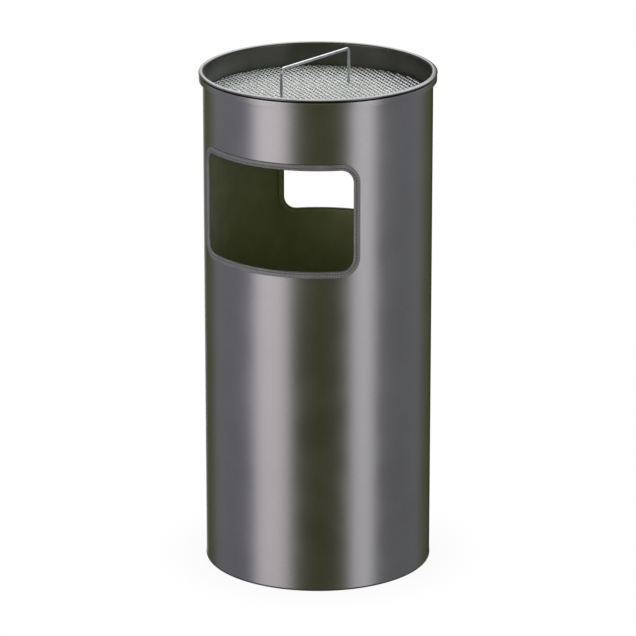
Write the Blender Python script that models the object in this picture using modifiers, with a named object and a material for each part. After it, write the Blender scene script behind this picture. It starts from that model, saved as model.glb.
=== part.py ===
"""Free-standing ash and litter bin.

A rolled steel shell has two throw-in openings, front and rear. A dish of sand with a
lift-out sieve closes its top, and a galvanised liner with a folding bail stands inside.

Frame: metres, +Z up, origin on the floor at the bin's axis, front opening towards -Y.
"""

import math

import bmesh
import bpy

# Overall, in metres.
RIM_TOP = 0.7465
BODY_RADIUS = 0.1675
SHEET = 0.001
GAP = 0.0003
ROUND_STEPS = 60

# Flanged collar at the top of the shell: out, over and down.
COLLAR_RADIUS = 0.1731
COLLAR_TOP = RIM_TOP - 0.0051
COLLAR_HEIGHT = 0.0085
COLLAR_BEND = 0.0016

# Throw-in openings: clear size inside the trim, measured round the body.
OPENING_HALF_WIDTH = 0.1295
OPENING_LOW = 0.490
OPENING_HIGH = 0.640
OPENING_CORNER = 0.020
CUTTER_DEPTH = 0.12
CUTTER_DISTANCE = 0.15

# Push-on edge profile round each opening.
TRIM_WIDTH = 0.0094
TRIM_HALF_THICKNESS = 0.0026
TRIM_SLOT_HALF = 0.0008
TRIM_SLOT_START = 0.0023
TRIM_EASE = 0.0006
SHEET_EDGE = 0.0028

# Ash dish, its sand and the sieve's ledge.
DISH_WALL_RADIUS = 0.1657
LIP_RADIUS = 0.1738
LIP_INNER_BEND = 0.0012
LIP_CURL = 0.0010
LIP_CURL_END_DEG = -90.0
LIP_FACE_DEG = 70.0
LEDGE_RADIUS = 0.1595
LEDGE_TOP = 0.710
DISH_FLOOR = 0.678
DISH_CORNER = 0.008
SAND_TOP = 0.700

# Sieve and its fixed handle.
SIEVE_RADIUS = 0.164
SIEVE_THICKNESS = 0.0018
HANDLE_SPAN = 0.1575
HANDLE_BAR_Z = 0.763
HANDLE_BEND = 0.006
HANDLE_WIRE = 0.00225
HANDLE_TURN = math.radians(78.2)
HANDLE_CENTRE = (-0.003, -0.002)
LEG_HOLE = 0.0026
LEG_HOLE_DEPTH = 0.01
WASHER_RADIUS = 0.008
WASHER_THICKNESS = 0.0015
LEG_BELOW_WASHER = 0.0015

# Base: plastic floor ring and steel base plate.
RING_SOLE = 0.002
RING_OUTER = 0.168
RING_INNER = 0.158
RING_UPSTAND = 0.012
RING_WALL = 0.002
BASE_FLANGE_LOW = 0.0125
BASE_TOP = 0.019

# Galvanised liner.
LINER_RADIUS = 0.155
LINER_SHEET = 0.0008
LINER_STEPS = 40
LINER_BEAD_RADIUS = 0.0026
LINER_BEAD_Z = 0.359
LINER_BASE_Z = 0.028
RIM_WIRE = 0.0018

# Lugs, rivets and bail of the liner.
PIVOT_Z = 0.3735
LUG_HALF_WIDTH = 0.009
LUG_LOW = 0.326
LUG_CORNER = 0.003
LUG_INNER_X = 0.1517
LUG_THICKNESS = 0.0015
EYE_RADIUS = 0.0026
RIVET_HEIGHTS = (0.335, 0.348)
RIVET_SHANK = 0.002
RIVET_HOLE = 0.0024
RIVET_HEAD = 0.004
RIVET_DOME = 0.0016
RIVET_SHOULDER = 0.6
RIVET_SHOULDER_HEIGHT = 0.75
RIVET_HOLE_DEPTH = 0.34
BAIL_WIRE = 0.002
BAIL_SIDE_RADIUS = 0.146
BAIL_REACH = 0.157
BAIL_PIN_END = 0.1585
BAIL_REST_TILT = math.radians(3.4)
BAIL_BEND = 0.006
BAIL_QUARTER_STEPS = 11

PARTS_COLLECTION = "litter_bin"
CUTTERS_COLLECTION = "cutters"


# ---- scene and materials ----

def clear_scene():
    for obj in list(bpy.data.objects):
        bpy.data.objects.remove(obj, do_unlink=True)


def add_collection(name):
    made = bpy.data.collections.new(name)
    bpy.context.scene.collection.children.link(made)
    return made


def material(name, colour, roughness, metallic):
    made = bpy.data.materials.new(name)
    made.use_nodes = True
    shader = made.node_tree.nodes["Principled BSDF"]
    shader.inputs["Base Color"].default_value = (*colour, 1.0)
    shader.inputs["Roughness"].default_value = roughness
    shader.inputs["Metallic"].default_value = metallic
    return made


def coat_paint(name):
    return material(name, (0.11, 0.11, 0.105), 0.35, 0.7)


def zinc(name):
    return material(name, (0.62, 0.64, 0.65), 0.4, 1.0)


# ---- sections in the (radius, height) plane ----

def arc(centre, radius, start_deg, end_deg, steps):
    """Points of an arc, both ends included."""
    points = []
    for i in range(steps + 1):
        angle = math.radians(start_deg + (end_deg - start_deg) * i / steps)
        points.append((centre[0] + radius * math.cos(angle), centre[1] + radius * math.sin(angle)))
    return points


def unit_normal(start, end):
    """Unit vector to the left of the way from start to end."""
    along = (end[0] - start[0], end[1] - start[1])
    length = math.hypot(*along)
    return (-along[1] / length, along[0] / length)


def offset_path(path, distance):
    """The path moved sideways, mitred at its corners."""
    moved = []
    for i, point in enumerate(path):
        before = unit_normal(path[max(i - 1, 0)], path[max(i, 1)])
        after = unit_normal(path[min(i, len(path) - 2)], path[min(i + 1, len(path) - 1)])
        total = (before[0] + after[0], before[1] + after[1])
        size = math.hypot(*total)
        mitre = (total[0] / size, total[1] / size)
        reach = distance / (mitre[0] * before[0] + mitre[1] * before[1])
        moved.append((point[0] + mitre[0] * reach, point[1] + mitre[1] * reach))
    return moved


def sheet_section(path, thickness):
    """Outline of a sheet of even thickness along a mid-line.

    A mid-line that ends on the axis gives an outline with both ends on the axis.
    """
    left = offset_path(path, thickness / 2)
    right = offset_path(path, -thickness / 2)
    return left[::-1] + right


def runs_clockwise(outline):
    area = 0.0
    for (r0, z0), (r1, z1) in zip(outline, outline[1:] + outline[:1]):
        area += r0 * z1 - r1 * z0
    return area < 0.0


# ---- shape makers ----

def add_object(name, data, collection, finish):
    made = bpy.data.objects.new(name, data)
    collection.objects.link(made)
    if finish:
        data.materials.append(finish)
    return made


def turned(name, outline, collection, finish, steps=ROUND_STEPS):
    """A solid of revolution about Z. An outline that starts on the axis stays open there."""
    if not runs_clockwise(outline):
        outline = outline[::-1]
    count = len(outline)
    edges = [(i, i + 1) for i in range(count - 1)]
    on_axis = abs(outline[0][0]) < 1e-6 and abs(outline[-1][0]) < 1e-6
    if not on_axis:
        edges.append((count - 1, 0))
    mesh = bpy.data.meshes.new(name)
    mesh.from_pydata([(r, 0.0, z) for r, z in outline], edges, [])
    made = add_object(name, mesh, collection, finish)
    screw = made.modifiers.new("Turn", "SCREW")
    screw.axis = "Z"
    screw.angle = math.tau
    screw.steps = steps
    screw.render_steps = steps
    screw.use_merge_vertices = True
    screw.merge_threshold = 0.00001
    screw.use_smooth_shade = True
    return made


def flat_curve(name, outlines, thickness):
    """A flat plate in the local XY plane: the first outline is its edge, the rest are holes."""
    curve = bpy.data.curves.new(name, "CURVE")
    curve.dimensions = "2D"
    curve.fill_mode = "BOTH"
    curve.extrude = thickness / 2
    for outline in outlines:
        spline = curve.splines.new("POLY")
        spline.points.add(len(outline) - 1)
        for point, (x, y) in zip(spline.points, outline):
            point.co = (x, y, 0.0, 1.0)
        spline.use_cyclic_u = True
    return curve


def wire_curve(name, points, radius):
    """A round wire through the points, with closed ends."""
    curve = bpy.data.curves.new(name, "CURVE")
    curve.dimensions = "3D"
    curve.bevel_depth = radius
    curve.bevel_resolution = 2
    curve.use_fill_caps = True
    spline = curve.splines.new("POLY")
    spline.points.add(len(points) - 1)
    for point, place in zip(spline.points, points):
        point.co = (*place, 1.0)
    return curve


def welded_mesh(obj):
    """The mesh of a curve object, with its loose caps and ends joined."""
    depsgraph = bpy.context.evaluated_depsgraph_get()
    mesh = bpy.data.meshes.new_from_object(obj.evaluated_get(depsgraph))
    work = bmesh.new()
    work.from_mesh(mesh)
    bmesh.ops.remove_doubles(work, verts=work.verts, dist=0.00001)
    work.to_mesh(mesh)
    work.free()
    return mesh


def hide_cutter(cutter):
    cutter.hide_render = True
    cutter.display_type = "WIRE"


def cut(target, cutter):
    boolean = target.modifiers.new("Cut " + cutter.name, "BOOLEAN")
    boolean.operation = "DIFFERENCE"
    boolean.object = cutter
    hide_cutter(cutter)


def round_cutter(name, radius, length, collection):
    """A cylinder along its local Z axis, used to cut a round hole."""
    mesh = bpy.data.meshes.new(name)
    work = bmesh.new()
    bmesh.ops.create_cone(work, cap_ends=True, segments=12, radius1=radius, radius2=radius, depth=length)
    work.to_mesh(mesh)
    work.free()
    return add_object(name, mesh, collection, None)


def round_outline(centre, radius, count):
    return arc(centre, radius, 0.0, 360.0 - 360.0 / count, count - 1)


# ---- shell ----

def shell_section():
    """Mid-line of the shell: up the wall, out over the collar's top and down its skirt."""
    wall = BODY_RADIUS - SHEET / 2
    top = COLLAR_TOP - SHEET / 2
    skirt = COLLAR_RADIUS - SHEET / 2
    path = [(wall, RING_SOLE + GAP)]
    path += arc((wall + COLLAR_BEND, top - COLLAR_BEND), COLLAR_BEND, 180.0, 90.0, 3)
    path += arc((skirt - COLLAR_BEND, top - COLLAR_BEND), COLLAR_BEND, 90.0, 0.0, 3)
    path.append((skirt, COLLAR_TOP - COLLAR_HEIGHT))
    return sheet_section(path, SHEET)


def opening_outline(grow, corner_steps, run_steps):
    """Rounded rectangle round an opening: x is the distance round the body, y the height."""
    half = OPENING_HALF_WIDTH + grow
    low = OPENING_LOW - grow
    high = OPENING_HIGH + grow
    corner = OPENING_CORNER + grow
    left, right = corner - half, half - corner
    points = []
    corners = ((right, high - corner), (left, high - corner), (left, low + corner), (right, low + corner))
    for i, centre in enumerate(corners):
        points += arc(centre, corner, 90.0 * i, 90.0 * (i + 1), corner_steps)
        if i in (0, 2):
            x, y = points[-1]
            points += [(x - 2 * x * step / run_steps, y) for step in range(1, run_steps)]
    return points


def opening_cutter(name, turn, collection):
    """A straight prism whose outline, seen along Y, is the rolled opening."""
    outline = opening_outline(SHEET_EDGE, corner_steps=4, run_steps=1)
    seen = [(BODY_RADIUS * math.sin(x / BODY_RADIUS), y) for x, y in outline]
    source = add_object(name + "_outline", flat_curve(name, [seen], CUTTER_DEPTH), collection, None)
    made = add_object(name, welded_mesh(source), collection, None)
    bpy.data.objects.remove(source)
    made.location = (CUTTER_DISTANCE * math.sin(turn), -CUTTER_DISTANCE * math.cos(turn), 0.0)
    made.rotation_euler = (math.radians(90.0), 0.0, turn)
    return made


def make_shell(parts, cutters):
    shell = turned("outer_shell", shell_section(), parts, coat_paint("shell_coat"))
    cut(shell, opening_cutter("front_opening_cutter", 0.0, cutters))
    cut(shell, opening_cutter("rear_opening_cutter", math.pi, cutters))


# ---- opening trims ----

def trim_profile():
    """U-shaped section of the trim: x runs from the opening's clear edge into the sheet."""
    nose = arc((TRIM_HALF_THICKNESS, 0.0), TRIM_HALF_THICKNESS, 270.0, 90.0, 4)
    upper = [
        (TRIM_WIDTH - TRIM_EASE, TRIM_HALF_THICKNESS),
        (TRIM_WIDTH, TRIM_HALF_THICKNESS - TRIM_EASE),
        (TRIM_WIDTH, TRIM_SLOT_HALF),
    ]
    slot = [(TRIM_SLOT_START, TRIM_SLOT_HALF), (TRIM_SLOT_START, -TRIM_SLOT_HALF)]
    lower = [(x, -y) for x, y in reversed(upper)]
    return nose + upper + slot + lower


def roll_round_body(mesh):
    """Rolls a flat mesh round the body: x goes round it, y up and z outwards from mid-sheet."""
    for vertex in mesh.vertices:
        around, up, out = vertex.co
        angle = around / BODY_RADIUS
        distance = BODY_RADIUS - SHEET / 2 + out
        vertex.co = (distance * math.sin(angle), -distance * math.cos(angle), up)


def trim_mesh(collection):
    """The trim's section swept round the opening's outline and rolled to the body."""
    profile = flat_curve("trim_section", [trim_profile()], 0.0)
    section = add_object("trim_section", profile, collection, None)
    path = bpy.data.curves.new("trim_path", "CURVE")
    path.dimensions = "3D"
    path.twist_mode = "Z_UP"
    path.bevel_mode = "OBJECT"
    path.bevel_object = section
    outline = opening_outline(0.0, corner_steps=4, run_steps=14)
    spline = path.splines.new("POLY")
    distinct = [p for i, p in enumerate(outline) if math.dist(p, outline[i - 1]) > 1e-5]
    spline.points.add(len(distinct) - 1)
    for point, (x, y) in zip(spline.points, distinct):
        point.co = (x, y, 0.0, 1.0)
    spline.use_cyclic_u = True
    swept = add_object("trim_path", path, collection, None)
    mesh = welded_mesh(swept)
    bpy.data.objects.remove(swept)
    bpy.data.objects.remove(section)
    roll_round_body(mesh)
    return mesh


def make_trims(parts, cutters):
    mesh = trim_mesh(cutters)
    mesh.shade_smooth()
    mesh.set_sharp_from_angle(angle=math.radians(35.0))
    mesh.materials.append(material("trim_profile", (0.17, 0.17, 0.18), 0.6, 0.0))
    for name, turn in (("front_opening_trim", 0.0), ("rear_opening_trim", math.pi)):
        trim = bpy.data.objects.new(name, mesh)
        trim.rotation_euler = (0.0, 0.0, turn)
        parts.objects.link(trim)


# ---- base ----

def make_floor_ring(parts):
    """Plastic ring under the shell's edge, with an upstand that grips it from inside."""
    outer = BODY_RADIUS - SHEET - GAP
    inner = outer - RING_WALL
    outline = [(RING_INNER, 0.0), (RING_OUTER, 0.0), (RING_OUTER, RING_SOLE), (outer, RING_SOLE)]
    outline += [(outer, RING_UPSTAND), (inner, RING_UPSTAND), (inner, RING_SOLE), (RING_INNER, RING_SOLE)]
    turned("floor_ring", outline, parts, material("black_plastic", (0.02, 0.02, 0.02), 0.5, 0.0))


def make_base_plate(parts):
    flange = BODY_RADIUS - SHEET * 1.5 - GAP
    floor = BASE_TOP - SHEET / 2
    path = [(flange, BASE_FLANGE_LOW), (flange, floor), (0.0, floor)]
    turned("base_plate", sheet_section(path, SHEET), parts, coat_paint("base_coat"))


# ---- ash dish, sand and sieve ----

def lip_line():
    """Mid-line of the lip, from the end of its curl over its sloped face to the dish's wall."""
    face = math.radians(LIP_FACE_DEG)
    inner = (DISH_WALL_RADIUS + LIP_INNER_BEND, RIM_TOP - SHEET / 2 - LIP_INNER_BEND)
    outer_radius = LIP_RADIUS - SHEET / 2 - LIP_CURL
    level = (outer_radius - inner[0]) * math.cos(face)
    drop = (level - LIP_INNER_BEND + LIP_CURL) / math.sin(face)
    curl = arc((outer_radius, inner[1] - drop), LIP_CURL, LIP_CURL_END_DEG, LIP_FACE_DEG, 6)
    return curl + arc(inner, LIP_INNER_BEND, LIP_FACE_DEG, 180.0, 4)


def make_ash_dish(parts):
    """Pressed dish: sloped lip curled over the collar, wall, sieve ledge and a flat floor."""
    ledge = LEDGE_TOP - SHEET / 2
    floor = DISH_FLOOR - SHEET / 2
    path = lip_line()
    path += [(DISH_WALL_RADIUS, ledge), (LEDGE_RADIUS, ledge)]
    path += arc((LEDGE_RADIUS - DISH_CORNER, floor + DISH_CORNER), DISH_CORNER, 0.0, -90.0, 3)
    path.append((0.0, floor))
    turned("ash_dish", sheet_section(path, SHEET), parts, coat_paint("dish_coat"))


def make_sand(parts):
    """Bed of sand that fills the dish to below the ledge."""
    corner = DISH_CORNER - SHEET / 2 - GAP
    centre = (LEDGE_RADIUS - DISH_CORNER, DISH_FLOOR - SHEET / 2 + DISH_CORNER)
    outline = [(0.0, SAND_TOP), (centre[0] + corner, SAND_TOP)]
    outline += arc(centre, corner, 0.0, -90.0, 3)
    outline.append((0.0, centre[1] - corner))
    turned("sand_bed", outline, parts, material("sand", (0.76, 0.72, 0.62), 0.9, 0.0))


def leg_places():
    """Where the handle's two legs stand, as (x, y)."""
    half = HANDLE_SPAN / 2
    x, y = half * math.cos(HANDLE_TURN), half * math.sin(HANDLE_TURN)
    middle_x, middle_y = HANDLE_CENTRE
    return [(middle_x + x, middle_y + y), (middle_x - x, middle_y - y)]


def make_sieve(parts, cutters):
    """Sieve disc, resting on the dish's ledge, with a hole for each leg of the handle."""
    low = LEDGE_TOP + GAP
    high = low + SIEVE_THICKNESS
    outline = [(0.0, high), (SIEVE_RADIUS, high), (SIEVE_RADIUS, low), (0.0, low)]
    sieve = turned("sieve_mesh", outline, parts, zinc("sieve_zinc"))
    washer_high = low - GAP
    washer_low = washer_high - WASHER_THICKNESS
    for label, (x, y) in zip(("rear", "front"), leg_places()):
        hole = round_cutter("leg_hole_" + label, LEG_HOLE, LEG_HOLE_DEPTH, cutters)
        hole.location = (x, y, low)
        cut(sieve, hole)
        ring = [
            (WASHER_RADIUS, washer_high), (WASHER_RADIUS, washer_low),
            (LEG_HOLE, washer_low), (LEG_HOLE, washer_high),
        ]
        washer = turned("sieve_washer_" + label, ring, parts, zinc("washer_zinc_" + label), steps=16)
        washer.location = (x, y, 0.0)


def make_sieve_handle(parts):
    """Bent wire handle, fixed through the sieve; its local X runs along the bar."""
    half = HANDLE_SPAN / 2
    foot = LEDGE_TOP - WASHER_THICKNESS - LEG_BELOW_WASHER
    bend = (half - HANDLE_BEND, HANDLE_BAR_Z - HANDLE_BEND)
    side = [(half, foot)] + arc(bend, HANDLE_BEND, 0.0, 90.0, 4)
    points = [(x, 0.0, z) for x, z in side]
    points += [(-x, 0.0, z) for x, z in reversed(side)]
    curve = wire_curve("sieve_handle", points, HANDLE_WIRE)
    handle = add_object("sieve_handle", curve, parts, zinc("handle_zinc"))
    handle.location = (*HANDLE_CENTRE, 0.0)
    handle.rotation_euler = (0.0, 0.0, HANDLE_TURN)


# ---- liner ----

def make_liner_wall(parts, cutters):
    """Liner wall with its top edge rolled outwards round a wire, and rivet holes at the lugs."""
    middle = LINER_RADIUS - LINER_SHEET / 2
    path = [(middle, BASE_TOP + GAP)]
    path += arc((middle + LINER_BEAD_RADIUS, LINER_BEAD_Z), LINER_BEAD_RADIUS, 180.0, -60.0, 6)
    wall = turned("liner_wall", sheet_section(path, LINER_SHEET), parts, zinc("liner_zinc"), LINER_STEPS)
    for i, height in enumerate(RIVET_HEIGHTS):
        hole = round_cutter(f"rivet_holes_{i + 1}", RIVET_HOLE, RIVET_HOLE_DEPTH, cutters)
        hole.rotation_euler = (0.0, math.radians(90.0), 0.0)
        hole.location = (0.0, 0.0, height)
        cut(wall, hole)


def make_liner_base(parts):
    flange = LINER_RADIUS - LINER_SHEET * 1.5 - GAP
    path = [(flange, BASE_TOP + 2 * GAP), (flange, LINER_BASE_Z), (0.0, LINER_BASE_Z)]
    turned("liner_base", sheet_section(path, LINER_SHEET), parts, zinc("liner_base_zinc"), LINER_STEPS)


def make_liner_rim_wire(parts):
    """Stiffening wire inside the rolled edge."""
    middle = LINER_RADIUS - LINER_SHEET / 2 + LINER_BEAD_RADIUS
    bpy.ops.mesh.primitive_torus_add(
        major_segments=LINER_STEPS, minor_segments=6, major_radius=middle, minor_radius=RIM_WIRE,
        location=(0.0, 0.0, LINER_BEAD_Z),
    )
    ring = bpy.context.object
    ring.name = "liner_rim_wire"
    ring.data.materials.append(zinc("rim_wire_zinc"))
    for collection in list(ring.users_collection):
        collection.objects.unlink(ring)
    parts.objects.link(ring)


def lug_outlines():
    """Lug in its own plane: round top about the eye, plus the eye and the rivet holes."""
    foot = LUG_LOW + LUG_CORNER
    edge = arc((0.0, PIVOT_Z), LUG_HALF_WIDTH, 0.0, 180.0, 8)
    edge += arc((LUG_CORNER - LUG_HALF_WIDTH, foot), LUG_CORNER, 180.0, 270.0, 3)
    edge += arc((LUG_HALF_WIDTH - LUG_CORNER, foot), LUG_CORNER, 270.0, 360.0, 3)
    holes = [round_outline((0.0, PIVOT_Z), EYE_RADIUS, 12)]
    holes += [round_outline((0.0, height), RIVET_HOLE, 12) for height in RIVET_HEIGHTS]
    return [edge] + holes


def rivet_outline():
    """Rivet about its own Z axis, from the head inside the lug to the head outside the wall."""
    inner = LUG_INNER_X - GAP
    outer = LINER_RADIUS + GAP
    shoulder = RIVET_HEAD * RIVET_SHOULDER
    rise = RIVET_DOME * RIVET_SHOULDER_HEIGHT
    outline = [(0.0, outer + RIVET_DOME), (shoulder, outer + rise)]
    outline += [(RIVET_HEAD, outer), (RIVET_SHANK, outer), (RIVET_SHANK, inner), (RIVET_HEAD, inner)]
    outline += [(shoulder, inner - rise), (0.0, inner - RIVET_DOME)]
    return outline


def make_lugs_and_rivets(parts):
    """A lug riveted inside the liner wall at each end of the bail."""
    for label, side in (("right", 1.0), ("left", -1.0)):
        plate = flat_curve("liner_lug_" + label, lug_outlines(), LUG_THICKNESS)
        lug = add_object("liner_lug_" + label, plate, parts, zinc("lug_zinc_" + label))
        lug.location = (side * (LUG_INNER_X + LUG_THICKNESS / 2), 0.0, 0.0)
        lug.rotation_euler = (math.radians(90.0), 0.0, math.radians(90.0))
        for place, height in zip(("lower", "upper"), RIVET_HEIGHTS):
            name = f"rivet_{label}_{place}"
            rivet = turned(name, rivet_outline(), parts, zinc(name + "_zinc"), steps=10)
            rivet.rotation_euler = (0.0, side * math.radians(90.0), 0.0)
            rivet.location = (0.0, 0.0, height)


def make_bail(parts):
    """Folding bail: pins through the lugs' eyes, then half an oval that lies on the rim.

    Its origin is on the pivot axis, and at rest it is folded down towards the front.
    """
    eased = BAIL_BEND * 0.3
    half = [(BAIL_PIN_END, 0.0, 0.0), (BAIL_SIDE_RADIUS + BAIL_BEND, 0.0, 0.0)]
    half.append((BAIL_SIDE_RADIUS + eased, -eased, 0.0))
    first = math.asin(BAIL_BEND / BAIL_REACH)
    for i in range(BAIL_QUARTER_STEPS + 1):
        angle = first + (math.pi / 2 - first) * i / BAIL_QUARTER_STEPS
        half.append((BAIL_SIDE_RADIUS * math.cos(angle), -BAIL_REACH * math.sin(angle), 0.0))
    points = half + [(-x, y, z) for x, y, z in reversed(half[:-1])]
    bail = add_object("liner_bail", wire_curve("liner_bail", points, BAIL_WIRE), parts, zinc("bail_zinc"))
    bail.location = (0.0, 0.0, PIVOT_Z)
    bail.rotation_euler = (BAIL_REST_TILT, 0.0, 0.0)


def main():
    clear_scene()
    parts = add_collection(PARTS_COLLECTION)
    cutters = add_collection(CUTTERS_COLLECTION)
    make_shell(parts, cutters)
    make_trims(parts, cutters)
    make_floor_ring(parts)
    make_base_plate(parts)
    make_ash_dish(parts)
    make_sand(parts)
    make_sieve(parts, cutters)
    make_sieve_handle(parts)
    make_liner_wall(parts, cutters)
    make_liner_base(parts)
    make_liner_rim_wire(parts)
    make_lugs_and_rivets(parts)
    make_bail(parts)


main()
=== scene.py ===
"""Looks of a free-standing ash and litter bin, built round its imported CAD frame.

Units are metres. Angles round the bin start at the front opening (-Y) and run towards +X.
Angles in the studio start at the camera's side and run towards its right.
"""

import math

import bmesh
import bpy
from mathutils import Matrix, Vector, noise


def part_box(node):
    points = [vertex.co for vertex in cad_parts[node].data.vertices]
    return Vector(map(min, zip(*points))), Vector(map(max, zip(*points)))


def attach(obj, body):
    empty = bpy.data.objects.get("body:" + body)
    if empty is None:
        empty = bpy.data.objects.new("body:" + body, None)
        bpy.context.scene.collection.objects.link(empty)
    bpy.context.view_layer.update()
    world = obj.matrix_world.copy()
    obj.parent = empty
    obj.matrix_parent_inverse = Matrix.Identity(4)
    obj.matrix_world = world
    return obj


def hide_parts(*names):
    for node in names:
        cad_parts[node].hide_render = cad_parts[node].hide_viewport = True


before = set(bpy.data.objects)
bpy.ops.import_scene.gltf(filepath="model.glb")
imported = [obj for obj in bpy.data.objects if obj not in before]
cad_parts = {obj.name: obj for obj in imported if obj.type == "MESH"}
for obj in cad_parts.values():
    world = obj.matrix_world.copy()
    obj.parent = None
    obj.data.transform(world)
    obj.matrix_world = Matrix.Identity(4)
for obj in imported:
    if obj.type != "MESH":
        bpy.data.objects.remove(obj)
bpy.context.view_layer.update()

# Sheet metal of the drum. Here and below, a place that a node's box gives is read from the frame.
SHEET = 0.001
FIT_GAP = 0.0003
SHELL_LOW, SHELL_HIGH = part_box("outer_shell")
COLLAR_HEIGHT = 0.0085
COLLAR_BEND = 0.0006
RING_LOW, RING_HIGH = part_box("floor_ring")
RING_PROUD = 0.0005
BODY_RADIUS = RING_HIGH.x - RING_PROUD
BODY_MIDDLE = BODY_RADIUS - SHEET / 2
HALF_TURN = math.pi * BODY_RADIUS

# Openings: clear size inside the trim, measured round the body. The sheet ends SHEET_EDGE outside it.
TRIM_WIDTH = 0.0094
TRIM_HALF_THICKNESS = 0.0026
TRIM_SLOT_HALF = 0.0008
TRIM_SLOT_START = 0.0023
TRIM_END_RADIUS = 0.0012
OPENING_HALF_WIDTH = 0.1295
OPENING_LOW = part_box("front_opening_trim")[0].z + TRIM_WIDTH
OPENING_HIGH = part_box("front_opening_trim")[1].z - TRIM_WIDTH
OPENING_CORNER = 0.020
SHEET_EDGE = 0.0028

# Ash dish and what stands in it. The lip's bend is wider outside its crown than inside, and where
# the outer bend has come down to LIP_CURL_FROM_DEG a small curl takes over.
RIM_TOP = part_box("ash_dish")[1].z
DISH_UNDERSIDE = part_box("ash_dish")[0].z
DISH_WALL_RADIUS = 0.1657
LIP_INNER_BEND = 0.0033
LIP_OUTER_BEND = 0.0062
LIP_CURL = 0.0007
LIP_CURL_FROM_DEG = 50.0
LEDGE_RADIUS = 0.1595
LEDGE_BEND = 0.0016
SIEVE_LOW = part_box("sieve_mesh")[0].z
SIEVE_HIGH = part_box("sieve_mesh")[1].z
SIEVE_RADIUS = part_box("sieve_mesh")[1].x
LEDGE_TOP = SIEVE_LOW - FIT_GAP
DISH_CORNER = 0.008
SAND_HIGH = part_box("sand_bed")[1].z

# Sieve handle.
HANDLE_SPAN = 0.1575
HANDLE_TURN = math.radians(78.2)
HANDLE_CENTRE = Vector((-0.003, -0.002, 0.0))
HANDLE_WIRE = 0.00225
HANDLE_BEND = 0.006
HANDLE_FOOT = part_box("sieve_handle")[0].z
HANDLE_BAR_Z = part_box("sieve_handle")[1].z - HANDLE_WIRE

# Liner. Its top edge is rolled round a wire.
LINER_RADIUS = 0.155
LINER_SHEET = 0.0008
LINER_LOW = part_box("liner_wall")[0].z
LINER_ROLL_RADIUS = 0.0026
RIM_WIRE = 0.0018
LINER_ROLL_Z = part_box("liner_rim_wire")[1].z - RIM_WIRE
PIVOT_Z = 0.3735
BAIL_WIRE = 0.002

# Camera: it faces CAMERA_AIM, and then moves CAMERA_UP along its own upright axis.
CAMERA_AZIMUTH = math.radians(26.5)
CAMERA_ELEVATION = math.radians(17.86)
CAMERA_DISTANCE = 6.0
CAMERA_AIM = Vector((0.0, 0.0, 0.371))
CAMERA_UP = -0.0034
CAMERA_CLIP_END = 100.0
LENS = 229.5
SENSOR = 36.0


def new_object(name, data):
    """An object in the scene that shows the data."""
    made = bpy.data.objects.new(name, data)
    bpy.context.scene.collection.objects.link(made)
    return made


# ---- shader nodes ----

WHITE = (1.0, 1.0, 1.0)


def add_node(tree, kind, inputs, output=0, **settings):
    """Adds a shader node, whose inputs are plain values or sockets to link, and gives an output."""
    node = tree.nodes.new(kind)
    for name, value in settings.items():
        setattr(node, name, value)
    for name, value in inputs.items():
        if isinstance(value, bpy.types.NodeSocket):
            tree.links.new(value, node.inputs[name])
        else:
            node.inputs[name].default_value = value
    return node.outputs[output]


def math_node(tree, operation, *values):
    return add_node(tree, "ShaderNodeMath", dict(enumerate(values)), operation=operation)


def spread(tree, value, low=0.0, high=1.0, start=0.3, end=0.7, easing="LINEAR"):
    """Runs from low to high while the value runs from start to end, and stays there beyond."""
    inputs = {"Value": value, "From Min": start, "From Max": end, "To Min": low, "To Max": high}
    return add_node(tree, "ShaderNodeMapRange", inputs, interpolation_type=easing)


def smooth_step(tree, value, start, end):
    """0 before start and 1 after end. With start above end it falls instead."""
    if start < end:
        return spread(tree, value, 0.0, 1.0, start, end, "SMOOTHSTEP")
    return spread(tree, value, 1.0, 0.0, end, start, "SMOOTHSTEP")


def along(tree, direction, axis):
    """How far a direction points along an axis: the cosine between them."""
    inputs = {0: direction, 1: axis}
    return add_node(tree, "ShaderNodeVectorMath", inputs, "Value", operation="DOT_PRODUCT")


def blend(tree, factor, first, second, mode="MIX"):
    """Blends two colours, each a plain colour or a socket."""
    inputs = {"Factor": factor}
    for name, colour in (("A", first), ("B", second)):
        inputs[name] = colour if isinstance(colour, bpy.types.NodeSocket) else (*colour, 1.0)
    return add_node(tree, "ShaderNodeMix", inputs, "Result", data_type="RGBA", blend_type=mode)


def mottled(tree, factor, colour, low, high):
    """Shades of one colour, from low times it to high times it."""
    dark, light = (tuple(channel * share for channel in colour) for share in (low, high))
    return blend(tree, factor, dark, light)


def bump(tree, height, depth, *before):
    """Relief of a depth in metres, on top of the relief before it where there is one."""
    inputs = {"Height": height, "Distance": depth, **{"Normal": normal for normal in before}}
    return add_node(tree, "ShaderNodeBump", inputs)


# ---- studio ----

# Upright strip lights: azimuth, half width and softness of the edge in degrees, colour, strength.
STRIPS = {
    "left_key": (-48.2, 18.8, 12.0, (1.0, 0.955, 1.0), 4.1),
    "right_key": (46.3, 12.8, 8.0, (0.99, 0.965, 1.03), 4.0),
    "left_fill": (-98.0, 32.0, 16.0, (0.73, 0.72, 1.0), 0.86),
    "right_fill": (98.0, 32.0, 24.0, (0.72, 0.72, 1.0), 0.76),
    "rear_key": (-172.0, 9.0, 10.0, (1.0, 0.97, 1.0), 1.5),
    "front_haze": (0.0, 155.0, 20.0, (0.92, 1.0, 0.28), 0.24),
}
# As the sine of the elevation rises, the strips fade in over STRIP_FALL and out over STRIP_TOP.
STRIP_FALL = (-1.0, 0.1)
STRIP_TOP = (0.30, 0.55)
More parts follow.
